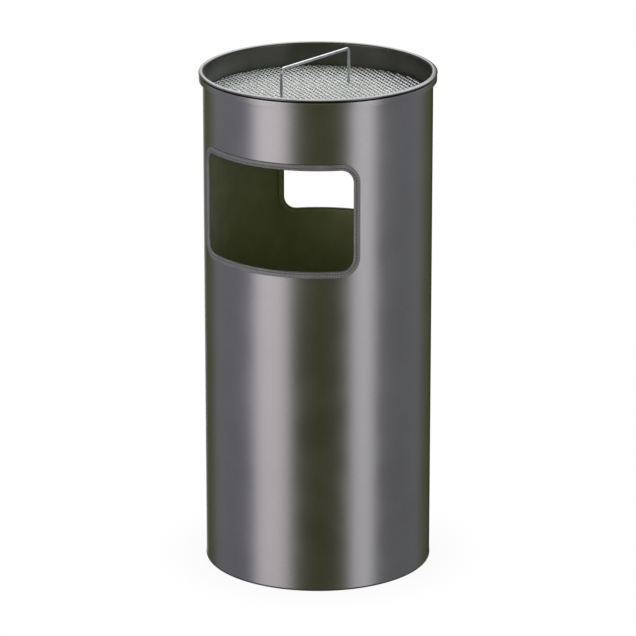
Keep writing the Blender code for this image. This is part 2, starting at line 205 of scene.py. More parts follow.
# Round lights: azimuth, elevation and the edge's outer and inner radius in degrees, colour, strength.
ROUND_LIGHTS = {
    "top": (172.0, 58.0, 46.0, 24.0, (0.99, 1.0, 1.0), 4.4),
    "front_panel": (0.0, 22.0, 20.0, 12.0, (0.92, 1.0, 0.60), 1.1),
}
AMBIENT = (0.02, 0.02, 0.018)


def studio_direction(azimuth, elevation=0.0):
    """World direction at an azimuth from the camera's side."""
    turn = CAMERA_AZIMUTH + azimuth
    flat = math.cos(elevation)
    return Vector((flat * math.sin(turn), -flat * math.cos(turn), math.sin(elevation)))


def make_camera():
    data = bpy.data.cameras.new("camera")
    data.lens = LENS
    data.sensor_width = SENSOR
    data.clip_end = CAMERA_CLIP_END
    camera = new_object("camera", data)
    towards = studio_direction(0.0, CAMERA_ELEVATION)
    camera.rotation_euler = towards.to_track_quat("Z", "Y").to_euler()
    axes = camera.rotation_euler.to_matrix()
    camera.location = CAMERA_AIM + axes @ Vector((0.0, CAMERA_UP, CAMERA_DISTANCE))
    bpy.context.scene.camera = camera


def add_light(tree, total, weight, colour, strength):
    """Adds weight times a light's colour to the sky's running total, a socket or a plain colour."""
    full = [channel * strength for channel in colour]
    inputs = {0: full, 1: weight, 2: total}
    return add_node(tree, "ShaderNodeVectorMath", inputs, operation="MULTIPLY_ADD")


def studio_light(tree):
    """The light from each direction: a dark studio with its strips and round lights."""
    direction = add_node(tree, "ShaderNodeTexCoord", {}, "Generated")
    rightward = along(tree, direction, studio_direction(math.pi / 2))
    forward = along(tree, direction, studio_direction(0.0))
    upward = along(tree, direction, (0.0, 0.0, 1.0))
    azimuth = math_node(tree, "ARCTAN2", rightward, forward)
    below_top = smooth_step(tree, upward, STRIP_TOP[1], STRIP_TOP[0])
    upright = math_node(tree, "MULTIPLY", below_top, smooth_step(tree, upward, *STRIP_FALL))
    total = AMBIENT
    for centre, half, soft, colour, strength in STRIPS.values():
        turned = math_node(tree, "SUBTRACT", azimuth, math.radians(centre))
        around = math_node(tree, "PINGPONG", math_node(tree, "ABSOLUTE", turned), math.pi)
        edge = (math.radians(half + soft / 2), math.radians(half - soft / 2))
        weight = math_node(tree, "MULTIPLY", smooth_step(tree, around, *edge), upright)
        total = add_light(tree, total, weight, colour, strength)
    for centre, height, outer, inner, colour, strength in ROUND_LIGHTS.values():
        axis = studio_direction(math.radians(centre), math.radians(height))
        edge = (math.cos(math.radians(outer)), math.cos(math.radians(inner)))
        weight = smooth_step(tree, along(tree, direction, axis), *edge)
        total = add_light(tree, total, weight, colour, strength)
    return total


def make_sky():
    """Plain white where the camera sees it, and the studio for everything else."""
    world = bpy.data.worlds.new("studio")
    bpy.context.scene.world = world
    world.use_nodes = True
    tree = world.node_tree
    tree.nodes.clear()
    lit = add_node(tree, "ShaderNodeBackground", {"Color": studio_light(tree)})
    plain = add_node(tree, "ShaderNodeBackground", {"Color": (*WHITE, 1.0)})
    seen = add_node(tree, "ShaderNodeLightPath", {}, "Is Camera Ray")
    mix = add_node(tree, "ShaderNodeMixShader", {0: seen, 1: lit, 2: plain})
    tree.links.new(mix, tree.nodes.new("ShaderNodeOutputWorld").inputs["Surface"])


FLOOR_HALF_SIZE = 30.0
CONTACT_REACH = 0.10
CONTACT_SHADE = (0.90, 0.90, 0.90)


def make_floor():
    """Plain white floor with a faint contact shade; it casts no light on the object."""
    mesh = bpy.data.meshes.new("floor")
    work = bmesh.new()
    bmesh.ops.create_grid(work, x_segments=1, y_segments=1, size=FLOOR_HALF_SIZE)
    work.to_mesh(mesh)
    work.free()
    floor = new_object("floor", mesh)
    finish = bpy.data.materials.new("white_floor")
    finish.use_nodes = True
    tree = finish.node_tree
    tree.nodes.clear()
    shade = add_node(tree, "ShaderNodeAmbientOcclusion", {"Distance": CONTACT_REACH}, "AO")
    glow = add_node(tree, "ShaderNodeEmission", {"Color": blend(tree, shade, CONTACT_SHADE, WHITE)})
    tree.links.new(glow, tree.nodes.new("ShaderNodeOutputMaterial").inputs["Surface"])
    mesh.materials.append(finish)
    for rays in ("visible_diffuse", "visible_glossy", "visible_transmission", "visible_shadow"):
        setattr(floor, rays, False)


# ---- materials ----

def new_finish(name, colour, roughness, metallic, specular=0.5):
    """A new material with its node tree, its shader and the surface's own place."""
    finish = bpy.data.materials.new(name)
    finish.use_nodes = True
    shader = finish.node_tree.nodes["Principled BSDF"]
    shader.inputs["Base Color"].default_value = (*colour, 1.0)
    shader.inputs["Roughness"].default_value = roughness
    shader.inputs["Metallic"].default_value = metallic
    shader.inputs["Specular IOR Level"].default_value = specular
    return finish, finish.node_tree, shader, place_coords(finish.node_tree)


def dress(tree, shader, painted, normal, gloss=None):
    """Links a finish's colour, its fine relief and, where it varies, its roughness."""
    tree.links.new(painted, shader.inputs["Base Color"])
    tree.links.new(normal, shader.inputs["Normal"])
    if gloss is not None:
        tree.links.new(gloss, shader.inputs["Roughness"])


def place_coords(tree):
    """The surface's own place in metres."""
    return add_node(tree, "ShaderNodeTexCoord", {}, "Object")


def noise_value(tree, coords, scale, detail=2.0):
    inputs = {"Vector": coords, "Scale": scale, "Detail": detail}
    return add_node(tree, "ShaderNodeTexNoise", inputs)


def cell_value(tree, coords, scale):
    """One random value for each cell of a Voronoi pattern."""
    colour = add_node(tree, "ShaderNodeTexVoronoi", {"Vector": coords, "Scale": scale}, "Color")
    return add_node(tree, "ShaderNodeSeparateColor", {0: colour})


def coat_finish(name, colour, roughness, roughness_spread, peel_depth):
    """Metallic powder coat: fine flake, a little orange peel and slightly uneven gloss."""
    finish, tree, shader, coords = new_finish(name, colour, roughness, metallic=1.0)
    flake = cell_value(tree, coords, scale=2600.0)
    cloud = noise_value(tree, coords, scale=14.0, detail=3.0)
    total = math_node(tree, "MULTIPLY", math_node(tree, "ADD", flake, cloud), 0.5)
    painted = mottled(tree, spread(tree, total, start=0.2, end=0.8), colour, 0.86, 1.14)
    gloss = spread(tree, cloud, roughness - roughness_spread, roughness + roughness_spread)
    peel = bump(tree, noise_value(tree, coords, scale=420.0, detail=1.0), peel_depth)
    grain = bump(tree, noise_value(tree, coords, scale=3200.0, detail=1.0), peel_depth * 0.3, peel)
    dress(tree, shader, painted, grain, gloss)
    return finish


def inside_mask(tree, radius):
    """1 nearer to the bin's axis than the radius, and 0 further out."""
    inputs = {0: place_coords(tree), 1: (1.0, 1.0, 0.0)}
    flat = add_node(tree, "ShaderNodeVectorMath", inputs, operation="MULTIPLY")
    distance = add_node(tree, "ShaderNodeVectorMath", {0: flat}, "Value", operation="LENGTH")
    return math_node(tree, "LESS_THAN", distance, radius)


def add_inner_layer(finish, radius, colour, roughness, metallic=0.0):
    """Gives the surface inside a radius a duller layer of its own colour and gloss; on the dish's inside wall
    this layer is painted shade.
    """
    tree = finish.node_tree
    shader = tree.nodes["Principled BSDF"]
    mask = inside_mask(tree, radius)
    painted = shader.inputs["Base Color"].links[0].from_socket
    gloss = shader.inputs["Roughness"].links[0].from_socket
    cloud = noise_value(tree, place_coords(tree), scale=30.0, detail=4.0)
    layer = mottled(tree, spread(tree, cloud), colour, 0.9, 1.1)
    tree.links.new(blend(tree, mask, painted, layer), shader.inputs["Base Color"])
    rough = add_node(tree, "ShaderNodeMix", {"Factor": mask, "A": gloss, "B": roughness}, "Result")
    tree.links.new(rough, shader.inputs["Roughness"])
    if shader.inputs["Metallic"].default_value > metallic:
        metal = math_node(tree, "SUBTRACT", 1.0, math_node(tree, "MULTIPLY", mask, 1.0 - metallic))
        tree.links.new(metal, shader.inputs["Metallic"])


# The trims' mesh attribute: from 0 to 1, how deep a point is pressed or how near the clear edge it
# lies on the inner face. It weights the painted shade that darkens the trims' colour there.
SHADE_WEIGHT = "recess"
# Colour of the painted shade in the trims' ribs and groove and along their clear edge.
GROOVE_SHADE = (0.10, 0.10, 0.10)


def paint_trim_shade(finish, depth):
    """Paints shade into the surface's colour where its mesh attribute runs from 0 to 1."""
    tree = finish.node_tree
    shader = tree.nodes["Principled BSDF"]
    painted = shader.inputs["Base Color"].links[0].from_socket
    recess = add_node(tree, "ShaderNodeAttribute", {}, "Fac", attribute_name=SHADE_WEIGHT)
    dark = spread(tree, recess, 0.0, depth, start=0.1, end=0.9)
    tree.links.new(blend(tree, dark, painted, GROOVE_SHADE, "MULTIPLY"), shader.inputs["Base Color"])


def rubber_finish(name, colour, roughness):
    """Moulded PVC: matt, with a fine grain and a dusty variation."""
    finish, tree, shader, coords = new_finish(name, colour, roughness, metallic=0.0, specular=0.6)
    dust = noise_value(tree, coords, scale=60.0, detail=4.0)
    painted = mottled(tree, spread(tree, dust), colour, 0.85, 1.2)
    gloss = spread(tree, dust, roughness - 0.06, roughness + 0.08)
    grain = bump(tree, noise_value(tree, coords, scale=1800.0), depth=0.00004)
    dress(tree, shader, painted, grain, gloss)
    return finish


def zinc_finish(name, colour, roughness, spangle, spangle_scale):
    """Galvanised steel: crystal spangle in tone and gloss, over a slightly uneven surface."""
    finish, tree, shader, coords = new_finish(name, colour, roughness, metallic=1.0)
    crystals = cell_value(tree, coords, spangle_scale)
    cloud = noise_value(tree, coords, spangle_scale * 0.4, detail=3.0)
    total = math_node(tree, "ADD", crystals, math_node(tree, "SUBTRACT", cloud, 0.5))
    painted = mottled(tree, total, colour, 1.0 - spangle, 1.0 + spangle)
    gloss = spread(tree, total, roughness + 0.10, roughness - 0.06, start=0.0, end=1.0)
    uneven = bump(tree, noise_value(tree, coords, scale=700.0), depth=0.00003)
    dress(tree, shader, painted, uneven, gloss)
    return finish


def sand_finish(name, light, dark):
    """Dry sand: grains of several tones with small shadows between them."""
    middle = tuple((first + second) / 2 for first, second in zip(light, dark))
    finish, tree, shader, coords = new_finish(name, middle, roughness=0.95, metallic=0.0, specular=0.2)
    grains = cell_value(tree, coords, scale=1500.0)
    patches = noise_value(tree, coords, scale=45.0, detail=4.0)
    total = math_node(tree, "MULTIPLY", math_node(tree, "ADD", grains, patches), 0.6)
    painted = blend(tree, spread(tree, total, start=0.15, end=0.85), dark, light)
    dress(tree, shader, painted, bump(tree, noise_value(tree, coords, 900.0, detail=3.0), depth=0.0005))
    return finish


# Each coat: colour, roughness, how far the roughness varies, depth of its orange peel.
COATS = {
    "shell_coat": ((0.160, 0.158, 0.163), 0.30, 0.02, 0.00001),
    "dish_coat": ((0.108, 0.107, 0.108), 0.26, 0.03, 0.00001),
    "base_coat": ((0.140, 0.140, 0.140), 0.42, 0.05, 0.00002),
}
# Each rubber: colour, roughness.
RUBBERS = {
    "trim_profile": ((0.092, 0.092, 0.101), 0.46),
    "floor_ring_plastic": ((0.018, 0.018, 0.018), 0.55),
}
# Each zinc: colour, roughness, contrast of its spangle, and cells of it in a metre.
ZINCS = {
    "sieve_zinc": ((0.72, 0.735, 0.75), 0.51, 0.08, 220.0),
    "handle_zinc": ((0.32, 0.33, 0.345), 0.36, 0.08, 260.0),
    "liner_zinc": ((0.48, 0.49, 0.50), 0.36, 0.16, 110.0),
    "liner_wire_zinc": ((0.50, 0.51, 0.52), 0.34, 0.10, 260.0),
    "rivet_zinc": ((0.55, 0.56, 0.57), 0.30, 0.08, 300.0),
}


def make_finishes():
    finishes = {"sand": sand_finish("sand", (0.43, 0.42, 0.38), (0.21, 0.20, 0.175))}
    for make, looks in ((coat_finish, COATS), (rubber_finish, RUBBERS), (zinc_finish, ZINCS)):
        for name, look in looks.items():
            finishes[name] = make(name, *look)
    dish_shade_radius = DISH_WALL_RADIUS + 0.6 * SHEET
    add_inner_layer(finishes["shell_coat"], BODY_MIDDLE, (0.20, 0.215, 0.108), 0.7)
    # Painted shade: the dish's inside wall and the start of its lip's inner bend are darker and duller than
    # the lip.
    add_inner_layer(finishes["dish_coat"], dish_shade_radius, (0.055, 0.056, 0.047), 0.36, 0.9)
    add_inner_layer(finishes["trim_profile"], BODY_MIDDLE - SHEET / 2, (0.22, 0.24, 0.12), 0.7)
    # Painted shade in the trims' ribs and groove, and along their clear edge on the inner face.
    paint_trim_shade(finishes["trim_profile"], 0.85)
    return finishes


FINISHES = make_finishes()


# ---- sections ----

def arc(centre, radius, start_deg, end_deg, steps):
    """Points of an arc, both ends included."""
    points = []
    for i in range(steps + 1):
        angle = math.radians(start_deg + (end_deg - start_deg) * i / steps)
        points.append((centre[0] + radius * math.cos(angle), centre[1] + radius * math.sin(angle)))
    return points


def rounded(points, radius, steps=5):
    """A line of (x, y) points with its inner corners rounded; a radius may be given for each."""
    radii = radius if isinstance(radius, (list, tuple)) else [radius] * (len(points) - 2)
    made = [points[0]]
    for before, corner, after, bend in zip(points, points[1:], points[2:], radii):
        corner = Vector(corner)
        back = (Vector(before) - corner).normalized()
        ahead = (Vector(after) - corner).normalized()
        half = back.angle(ahead) / 2
        middle = corner + (back + ahead).normalized() * (bend / math.sin(half))
        start = corner + back * (bend / math.tan(half)) - middle
        end = corner + ahead * (bend / math.tan(half)) - middle
        sweep = start.angle_signed(end)
        for i in range(steps + 1):
            turn = -sweep * i / steps
            cos, sin = math.cos(turn), math.sin(turn)
            made.append((middle.x + start.x * cos - start.y * sin, middle.y + start.x * sin + start.y * cos))
    made.append(points[-1])
    return made


def rounded_loop(outline, radius, steps):
    """A closed outline of (x, y) points with every corner rounded."""
    around = outline[-1:] + outline + outline[:1]
    return rounded(around, radius, steps)[1:-1]


def unit_normal(start, end):
    """Unit vector to the left of the way from start to end."""
    step = (end[0] - start[0], end[1] - start[1])
    length = math.hypot(*step)
    return (-step[1] / length, step[0] / length)


def offset_path(path, distance):
    """The path moved sideways, mitred at its corners."""
    moved = []
    for i, point in enumerate(path):
        before = unit_normal(path[max(i - 1, 0)], path[max(i, 1)])
        after = unit_normal(path[min(i, len(path) - 2)], path[min(i + 1, len(path) - 1)])
        total = (before[0] + after[0], before[1] + after[1])
        size = math.hypot(*total)
        mitre = (total[0] / size, total[1] / size)
        reach = distance / (mitre[0] * before[0] + mitre[1] * before[1])
        moved.append((point[0] + mitre[0] * reach, point[1] + mitre[1] * reach))
    return moved


def distinct(path):
    """The path without points that repeat the one before."""
    return [p for i, p in enumerate(path) if i == 0 or math.dist(p, path[i - 1]) > 1e-6]


def sheet_outline(path, thickness):
    """Closed outline of a sheet of even thickness along a mid-line."""
    path = distinct(path)
    return offset_path(path, thickness / 2) + offset_path(path, -thickness / 2)[::-1]


# ---- meshes ----

WELD_DISTANCE = 0.000002
CREASE_DEG = 38.0


def closed_mesh(name, vertices, faces, weld):
    """A mesh whose faces point out. Welding joins the points that lie on one another."""
    mesh = bpy.data.meshes.new(name)
    mesh.from_pydata(vertices, [], faces)
    work = bmesh.new()
    work.from_mesh(mesh)
    if weld:
        bmesh.ops.remove_doubles(work, verts=work.verts, dist=WELD_DISTANCE)
    bmesh.ops.recalc_face_normals(work, faces=work.faces)
    work.to_mesh(mesh)
    work.free()
    return mesh


def smooth(mesh, crease_deg=CREASE_DEG):
    """Shades a mesh smooth and leaves its creases sharp."""
    mesh.shade_smooth()
    mesh.set_sharp_from_angle(angle=math.radians(crease_deg))
    return mesh


def smooth_mesh(name, vertices, faces, crease_deg=CREASE_DEG):
    return smooth(closed_mesh(name, vertices, faces, weld=True), crease_deg)


def quads(start, rings, count, closed=False):
    """Faces between rings of count points; closed also joins the last ring to the first."""
    faces = []
    for ring in range(rings if closed else rings - 1):
        here, there = start + ring * count, start + (ring + 1) % rings * count
        for j in range(count):
            k = (j + 1) % count
            faces.append((here + j, here + k, there + k, there + j))
    return faces


def applied_mesh(source):
    """The mesh of an object with its modifiers or curve applied. The object itself goes."""
    depsgraph = bpy.context.evaluated_depsgraph_get()
    mesh = bpy.data.meshes.new_from_object(source.evaluated_get(depsgraph))
    bpy.data.objects.remove(source)
    return mesh


ON_AXIS = 1e-7


def lathe(name, outline, steps, shape=None):
    """Turns a closed (radius, height) outline about Z. shape may move each point (angle, r, z)."""
    vertices = []
    for i in range(steps):
        angle = math.tau * i / steps
        for r, z in outline:
            if shape:
                r, z = shape(angle, r, z)
            vertices.append((r * math.sin(angle), -r * math.cos(angle), z))
    count = len(outline)
    off_axis = [r > ON_AXIS for r, _ in outline]
    faces = quads(0, steps, count, closed=True)
    faces = [face for face in faces if off_axis[face[0] % count] or off_axis[face[1] % count]]
    return smooth_mesh(name, vertices, faces)


def tube(name, points, radius, sides=16, cap_steps=4):
    """A round wire with domed ends, swept along a list of points without twisting."""
    points = [Vector(p) for p in points]
    ahead = [(b - a).normalized() for a, b in zip(points, points[1:])]
    tangents = [ahead[0]] + [(a + b).normalized() for a, b in zip(ahead, ahead[1:])] + [ahead[-1]]
    side = tangents[0].orthogonal().normalized()
    rings = []
    for point, tangent in zip(points, tangents):
        side = (side - tangent * side.dot(tangent)).normalized()
        rings.append((point, tangent, side, radius))
    start, end = rings[0], rings[-1]
    for step in range(1, cap_steps):
        angle = math.pi / 2 * step / cap_steps
        size, reach = radius * math.cos(angle), radius * math.sin(angle)
        rings.insert(0, (start[0] - start[1] * reach, start[1], start[2], size))
        rings.append((end[0] + end[1] * reach, end[1], end[2], size))
    vertices = []
    for centre, tangent, side, size in rings:
        across = tangent.cross(side)
        for i in range(sides):
            angle = math.tau * i / sides
            vertices.append(centre + (side * math.cos(angle) + across * math.sin(angle)) * size)
    faces = quads(0, len(rings), sides)
    faces.append(tuple(range(sides))[::-1])
    last = (len(rings) - 1) * sides
    faces.append(tuple(range(last, last + sides)))
    return smooth_mesh(name, vertices, faces, crease_deg=50.0)


def add_piece(mesh, slot, body, node):
    """Puts a mesh in the scene with its finish and its body, and hides the CAD node that it stands for."""
    piece = new_object(mesh.name, mesh)
    mesh.materials.clear()
    mesh.materials.append(FINISHES[slot])
    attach(piece, body)
    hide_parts(node)


def rolled(around, up, distance):
    """A point on the body: around is the distance round it, measured at the body's radius."""
    angle = around / BODY_RADIUS
    return (distance * math.sin(angle), -distance * math.cos(angle), up)


# ---- shell ----

# The frame round each opening reaches HOLE_MARGIN past it. Steps are the faces along each stretch.
HOLE_MARGIN = 0.012
RUN_STEPS = 30
SIDE_STEPS = 16
CORNER_STEPS = 8
FRAME_RINGS = 3
REAR_LEFT_STEPS = 24
FRONT_LEFT_STEPS = 30
RIGHT_STEPS = REAR_LEFT_STEPS + FRONT_LEFT_STEPS
LOWER_WALL_STEPS = 24
UPPER_WALL_STEPS = 6
SEAM = -HALF_TURN / 2
SEAM_WIDTH = 0.0025
SEAM_HEIGHT = 0.00018
ROUNDING = 1e-6


def spaced(start, end, steps):
    return [start + (end - start) * i / steps for i in range(steps + 1)]


def frame_marks(half_run, half_outer, steps):
    """Marks across an opening's frame: the corner, the straight run and the other corner."""
    corner = CORNER_STEPS // 2
    marks = spaced(-half_outer, -half_run, corner)
    marks += spaced(-half_run, half_run, steps)[1:]
    marks += spaced(half_run, half_outer, corner)[1:]
    return marks


def hole_points(half, low, high, corner):
    """Rounded rectangle as (x, z), anticlockwise from the middle of its right-hand lower corner."""
    run_x, run_low, run_high = half - corner, low + corner, high - corner
    centres = ((run_x, run_low), (run_x, run_high), (-run_x, run_high), (-run_x, run_low))
    bends = [arc(centre, corner, 90.0 * i - 90.0, 90.0 * i, CORNER_STEPS) for i, centre in enumerate(centres)]
    loop = []
    for i, bend in enumerate(bends):
        begin, end = bend[-1], bends[(i + 1) % len(bends)][0]
        steps = SIDE_STEPS if i % 2 == 0 else RUN_STEPS
        run = zip(spaced(begin[0], end[0], steps), spaced(begin[1], end[1], steps))
        loop += bend[:-1] + list(run)[:-1]
    quarter = CORNER_STEPS // 2
    return loop[quarter:] + loop[:quarter]


def rectangle_points(xs, zs):
    """The frame's outer rectangle, anticlockwise from its right-hand lower corner."""
    right = [(xs[-1], z) for z in zs[:-1]]
    top = [(x, zs[-1]) for x in reversed(xs[1:])]
    left = [(xs[0], z) for z in reversed(zs[1:])]
    bottom = [(x, zs[0]) for x in xs[:-1]]
    return right + top + left + bottom


def shell_rows(zs):
    """Mid-line of the shell as (radius, height), from the floor ring over the collar."""
    wall = [(BODY_MIDDLE, z) for z in spaced(SHELL_LOW.z, zs[0], LOWER_WALL_STEPS)[:-1]]
    wall += [(BODY_MIDDLE, z) for z in zs]
    bend, top, skirt = COLLAR_BEND, SHELL_HIGH.z - SHEET / 2, SHELL_HIGH.x - SHEET / 2
    wall += [(BODY_MIDDLE, z) for z in spaced(zs[-1], top - bend, UPPER_WALL_STEPS)[1:-1]]
    wall += arc((BODY_MIDDLE + bend, top - bend), bend, 180.0, 90.0, 5)
    wall += arc((skirt - bend, top - bend), bend, 90.0, 0.0, 6)
    wall += [(skirt, z) for z in spaced(top - bend, SHELL_HIGH.z - COLLAR_HEIGHT, 3)[1:]]
    return wall


def seam_rise(around):
    """The longitudinal weld stands slightly proud at the bin's left side."""
    off = abs(around - SEAM) / SEAM_WIDTH
    return SEAM_HEIGHT * max(0.0, 1.0 - off * off)


def is_wall(radius):
    return radius < BODY_MIDDLE + ROUNDING


def shell_columns(xs):
    """Places round the body, from half a turn left of the front to nearly half a turn right."""
    rear = HALF_TURN
    left_side = spaced(-rear - xs[0], SEAM - SEAM_WIDTH, REAR_LEFT_STEPS)[1:]
    left_side += spaced(SEAM - SEAM_WIDTH, xs[0], FRONT_LEFT_STEPS)[1:-1]
    seam_marks = [SEAM + SEAM_WIDTH * share for share in (-0.5, 0.0, 0.5, 1.0)]
    right_side = spaced(xs[-1], rear + xs[0], RIGHT_STEPS)[1:-1]
    rear_left = [x - rear for x in xs if x > 0.0]
    rear_right = [x + rear for x in xs if x < 0.0]
    columns = rear_left + left_side + seam_marks + xs + right_side + rear_right + [-rear]
    return sorted(set(round(column, 7) for column in columns))


def sheet_grid(columns, rows, xs, zs):
    """Vertices and faces of the rolled sheet, open where the two openings' frames go."""
    vertices = []
    for around in columns:
        rise = seam_rise(around)
        for radius, up in rows:
            vertices.append(rolled(around, up, radius + (rise if is_wall(radius) else 0.0)))
    faces = []
    count = len(rows)
    edge = xs[-1] - ROUNDING
    for i, around in enumerate(columns):
        following = (i + 1) % len(columns)
        centre = (around + (columns[following] if following else HALF_TURN)) / 2
        beside = abs(centre) < edge or abs(abs(centre) - HALF_TURN) < edge
        here, there = i * count, following * count
        for j in range(count - 1):
            level = (rows[j][1] + rows[j + 1][1]) / 2
            in_frame = beside and zs[0] < level < zs[-1] and is_wall(rows[j][0])
            if not in_frame:
                faces.append((here + j, there + j, there + j + 1, here + j + 1))
    return vertices, faces


def add_opening_frame(vertices, faces, hole, outer, turn):
    """Adds the rings of faces between an opening and the rectangle round it."""
    faces.extend(quads(len(vertices), FRAME_RINGS + 1, len(hole)))
    for share in spaced(0.0, 1.0, FRAME_RINGS):
        for (hx, hz), (ox, oz) in zip(hole, outer):
            vertices.append(rolled(hx + (ox - hx) * share + turn, hz + (oz - hz) * share, BODY_MIDDLE))


def make_shell():
    half = OPENING_HALF_WIDTH + SHEET_EDGE
    low, high = OPENING_LOW - SHEET_EDGE, OPENING_HIGH + SHEET_EDGE
    corner = OPENING_CORNER + SHEET_EDGE
    xs = frame_marks(half - corner, half + HOLE_MARGIN, RUN_STEPS)
    middle, half_height = (low + high) / 2, (high - low) / 2
    marks = frame_marks(half_height - corner, half_height + HOLE_MARGIN, SIDE_STEPS)
    zs = [middle + z for z in marks]
    vertices, faces = sheet_grid(shell_columns(xs), shell_rows(zs), xs, zs)
    hole = hole_points(half, low, high, corner)
    outer = rectangle_points(xs, zs)
    for turn in (0.0, HALF_TURN):
        add_opening_frame(vertices, faces, hole, outer, turn)
    sheet = thicken(smooth_mesh("outer_shell_middle", vertices, faces), SHEET)
    sheet.name = "outer_shell_skin"
    add_piece(sheet, "shell_coat", "housing", "outer_shell")


def thicken(mesh, thickness):
    """The mesh as a sheet of even thickness about it, with sharp cut edges."""
    source = new_object("thicken_source", mesh)
    solid = source.modifiers.new("Sheet", "SOLIDIFY")
    solid.thickness = thickness
    solid.offset = 0.0
    solid.use_even_offset = True
    return smooth(applied_mesh(source))


# ---- opening trims ----

RIB_PITCH = 0.0039
RIB_STEPS = 6
RIB_DEPTH = 0.0006
RIB_SPREAD = 0.0015
GROOVE_AT = 0.0036
GROOVE_SPREAD = 0.0009
BAND_AT = 0.0074
BAND_SPREAD = 0.0010
BAND_SHARE = 0.4
GROOVE_DEPTH = 0.0003
DEEPEST = RIB_DEPTH + GROOVE_DEPTH
# Painted shade along the trim's clear edge on its inner face fades out between these distances.
DARK_EDGE_FROM = 0.0016
DARK_EDGE_TO = 0.0030


def trim_profile():
    """U-section of the trim: x runs from the clear edge into the sheet, y outwards."""
    half, slot = TRIM_HALF_THICKNESS, TRIM_SLOT_HALF
    nose = arc((half, 0.0), half, 270.0, 90.0, 12)
    bend = TRIM_END_RADIUS
    flange = [(x, half) for x in spaced(half, TRIM_WIDTH - bend, 9)[1:]]
    end = arc((TRIM_WIDTH - bend, half - bend), bend, 90.0, 0.0, 4)[1:]
    upper = flange + end + [(TRIM_WIDTH, slot), (TRIM_SLOT_START, slot)]
    lower = [(x, -y) for x, y in reversed(upper)]
    return nose + upper + lower


def hump(x, middle, width):
    """1 at the middle, falling off to 0 over about twice the width on each side."""
    return math.exp(-((x - middle) / width) ** 2)


def trim_relief(x, y, distance):
    """How deep the outer and inner faces are pressed at a point, by the ribs and the long groove."""
    on_face = abs(y) > TRIM_HALF_THICKNESS * 0.8
    if not on_face or x > TRIM_WIDTH - TRIM_END_RADIUS / 2:
        return 0.0
    wave = 0.5 + 0.5 * math.cos(math.tau * distance / RIB_PITCH)
    band = BAND_SHARE * hump(x, BAND_AT, BAND_SPREAD)
    ribs = RIB_DEPTH * wave * (hump(x, GROOVE_AT, RIB_SPREAD) + band)
    return ribs + GROOVE_DEPTH * (hump(x, GROOVE_AT, GROOVE_SPREAD) + band)


def clear_edge_shade(x):
    """1 at the trim's clear edge and 0 from a little further in: weight of the painted shade line seen from
    inside.
    """
    share = max(0.0, min(1.0, (DARK_EDGE_TO - x) / (DARK_EDGE_TO - DARK_EDGE_FROM)))
    return share * share * (3.0 - 2.0 * share)


def opening_loop():
    """The opening's clear edge as (x, z, outward x, outward z, distance), evenly stepped."""
    corner = OPENING_CORNER
    run_x = OPENING_HALF_WIDTH - corner
    middle = (OPENING_LOW + OPENING_HIGH) / 2
    run_z = (OPENING_HIGH - OPENING_LOW) / 2 - corner
    parts = []
    for k, (sx, sz) in enumerate(((1, -1), (1, 1), (-1, 1), (-1, -1))):
        start = math.radians(90.0 * k - 90.0)
        parts.append(("bend", (sx * run_x, middle + sz * run_z), start, corner * math.pi / 2))
        normal = (math.cos(start + math.pi / 2), math.sin(start + math.pi / 2))
        begin = (sx * run_x + corner * normal[0], middle + sz * run_z + corner * normal[1])
        parts.append(("run", begin, start + math.pi / 2, 2 * (run_z if k % 2 == 0 else run_x)))
    length = sum(part[3] for part in parts)
    count = round(length / RIB_PITCH) * RIB_STEPS
    loop = []
    for i in range(count):
        distance = length * i / count
        left = distance
        for kind, place, angle, size in parts:
            if left < size:
                break
            left -= size
        if kind == "bend":
            turned = angle + left / corner
            out = (math.cos(turned), math.sin(turned))
            point = (place[0] + corner * out[0], place[1] + corner * out[1])
        else:
            out = (math.cos(angle), math.sin(angle))
            point = (place[0] - out[1] * left, place[1] + out[0] * left)
        loop.append((*point, *out, RIB_PITCH * i / RIB_STEPS))
    return loop


def trim_mesh(name, turn):
    profile = trim_profile()
    loop = opening_loop()
    vertices, shade_weights = [], []
    for x, z, out_x, out_z, distance in loop:
        for into, thick in profile:
            relief = trim_relief(into, thick, distance)
            # The attribute weights painted shade: the pressing's depth on the outer face, nearness to the
            # clear edge on the inner face.
            shade_weights.append(relief / DEEPEST if thick > 0.0 else clear_edge_shade(into))
            thick -= math.copysign(relief, thick)
            vertices.append(rolled(x + out_x * into + turn, z + out_z * into, BODY_MIDDLE + thick))
    faces = quads(0, len(loop), len(profile), closed=True)
    mesh = smooth_mesh(name, vertices, faces, crease_deg=50.0)
    recess = mesh.attributes.new(SHADE_WEIGHT, "FLOAT", "POINT")
    recess.data.foreach_set("value", shade_weights)
    return mesh


def make_trims():
    for side, turn in (("front", 0.0), ("rear", HALF_TURN)):
        mesh = trim_mesh(side + "_trim_profile", turn)
        node = side + "_opening_trim"
        add_piece(mesh, "trim_profile", "housing", node)


# ---- base ----

BASE_TURN_STEPS = 160
RING_SOLE = 0.002
RING_SOLE_WIDTH = 0.010
RING_WALL = 0.0018
BASE_PRESS_DEPTH = 0.0022


def make_floor_ring():
    """A flat sole under the drum's edge, and a wall that stands up just inside the drum."""
    grip = BODY_RADIUS - SHEET - FIT_GAP
    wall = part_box("base_plate")[1].x - FIT_GAP - RING_WALL
    inner, outer = RING_HIGH.x - RING_SOLE_WIDTH, RING_HIGH.x
    sole = RING_LOW.z + RING_SOLE
    outline = [(inner, RING_LOW.z), (outer, RING_LOW.z), (outer, sole), (grip, sole)]
    outline += [(grip, RING_HIGH.z), (wall, RING_HIGH.z), (wall, sole), (inner, sole)]
    radii = [0.0006, 0.0006, 0.0005, 0.0002, 0.0005, 0.0005, 0.0008, 0.0005]
    mesh = lathe("floor_ring_moulding", rounded_loop(outline, radii, 3), BASE_TURN_STEPS)
    add_piece(mesh, "floor_ring_plastic", "housing", "floor_ring")


